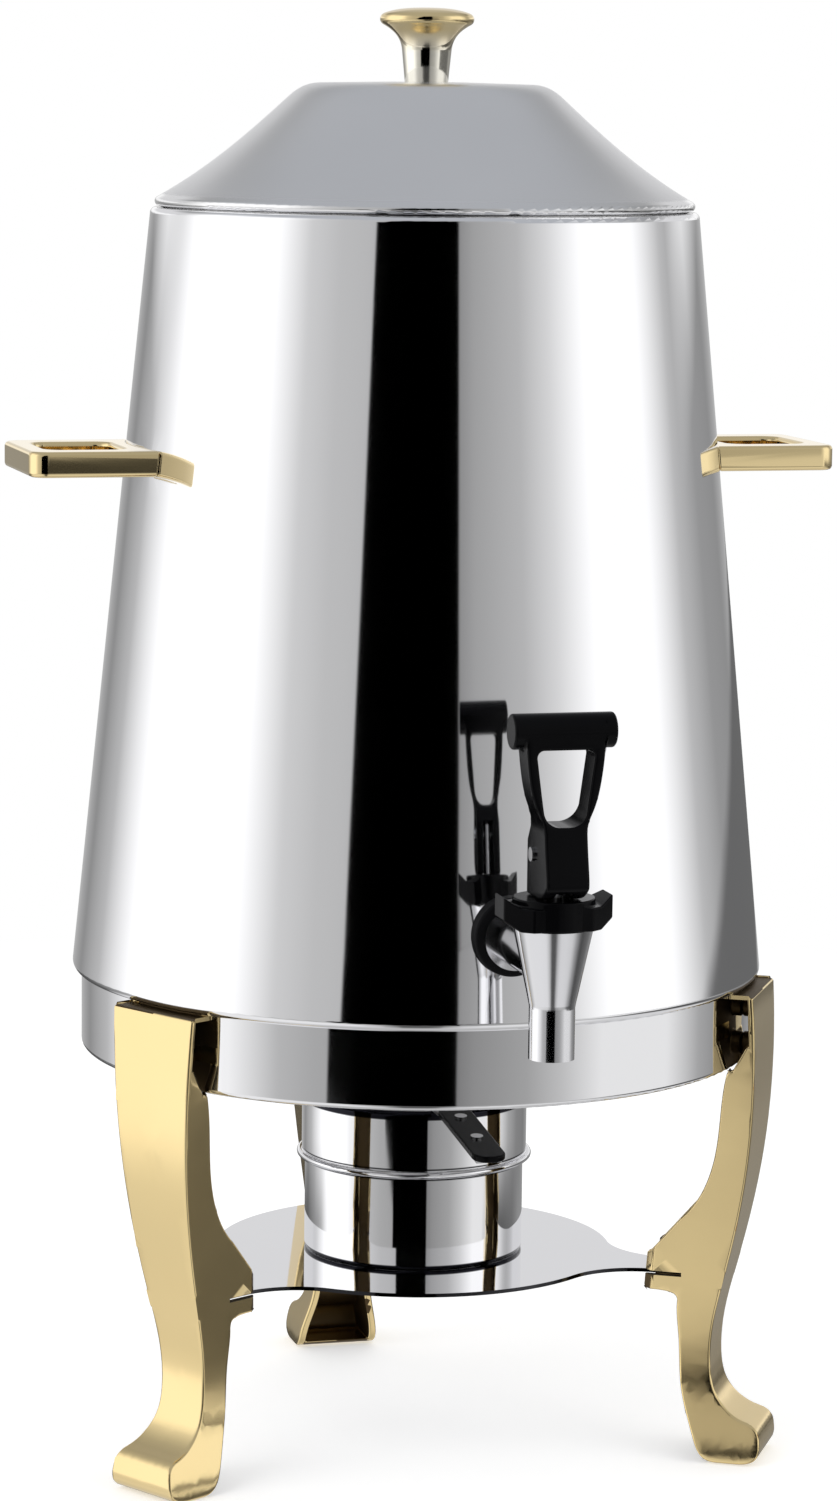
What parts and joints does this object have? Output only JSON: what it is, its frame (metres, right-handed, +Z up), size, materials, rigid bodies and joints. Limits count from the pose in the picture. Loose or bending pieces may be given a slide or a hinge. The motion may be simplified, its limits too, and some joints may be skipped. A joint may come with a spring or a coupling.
{
  "type": "coffee urn",
  "caption": "Tall conical steel drinks urn on cabriole legs, with a lever tap, loop handles, lift-off knobbed lid and a slide-out fuel burner on a shelf.",
  "frame": {"origin": "on the urn's vertical axis, on the surface that it stands on", "axes": "+Z up along the urn's axis, -Y out through the tap, X across the two handles"},
  "size_m": [0.321, 0.3502, 0.5633],
  "materials": {
    "polished_steel": "mirror-polished stainless sheet",
    "satin_steel": "satin stainless sheet",
    "pale_brass": "polished pale gold casting",
    "tap_chrome": "bright plating over a brass casting",
    "black_plastic": "heat-proof black plastic, slightly glossy",
    "black_seal": "black rubber",
    "silicone": "food-grade silicone",
    "fastener_steel": "plain stainless"
  },
  "bodies": {
    "urn": {"body_shell": "polished_steel", "tank_floor": "satin_steel", "skirt_ring": "polished_steel", "leg_front_left": "pale_brass", "leg_front_right": "pale_brass", "leg_back": "pale_brass", "leg_screws": "fastener_steel", "burner_shelf": "polished_steel", "handle_left": "pale_brass", "handle_right": "pale_brass", "handle_screws": "fastener_steel", "handle_washers": "silicone", "tap_body": "tap_chrome", "tap_outer_washer": "black_seal", "tap_inner_washer": "silicone", "tap_nut": "fastener_steel", "tap_bonnet": "black_plastic"},
    "tap_valve": {"valve_stem": "fastener_steel", "seat_cup": "silicone", "lever_pin": "fastener_steel", "valve_spring": "fastener_steel"},
    "tap_handle": {"tap_lever": "black_plastic"},
    "lid": {"lid_shell": "satin_steel", "lid_collar": "satin_steel", "lid_knob": "pale_brass", "knob_screw": "fastener_steel", "knob_washer": "silicone"},
    "fuel_holder": {"burner_cup": "polished_steel"},
    "holder_cap": {"burner_cap": "polished_steel", "damper_pivot": "fastener_steel"},
    "damper": {"damper_plate": "fastener_steel", "damper_grip": "black_plastic", "damper_rivets": "fastener_steel"}
  },
  "joints": [
    {"name": "lid_lift", "type": "slide", "parent": "urn", "child": "lid", "axis": [0, 0, 1], "range_m": [0, 0.15]},
    {"name": "stem_lift", "type": "slide", "parent": "urn", "child": "tap_valve", "axis": [0, 0, 1], "range_m": [0, 0.0042], "deforming": ["valve_spring"]},
    {"name": "lever_pull", "type": "hinge", "parent": "tap_valve", "child": "tap_handle", "pos_m": [0, -0.187, 0.2629], "axis": [1, 0, 0], "range_deg": [0, 40], "stiffness_Nm_per_rad": 0.1, "springref_deg": -40.11},
    {"name": "holder_out", "type": "slide", "parent": "urn", "child": "fuel_holder", "axis": [0, -1, 0], "range_m": [0, 0.19]},
    {"name": "cap_lift", "type": "slide", "parent": "fuel_holder", "child": "holder_cap", "axis": [0, 0, 1], "range_m": [0, 0.04]},
    {"name": "damper_swing", "type": "hinge", "parent": "holder_cap", "child": "damper", "pos_m": [0, -0.036, 0.1387], "axis": [0, 0, 1], "range_deg": [-60, 60]}
  ],
  "couplings": [
    {"joint": "stem_lift", "follows": "lever_pull", "m_per_rad": 0.00587}
  ]
}
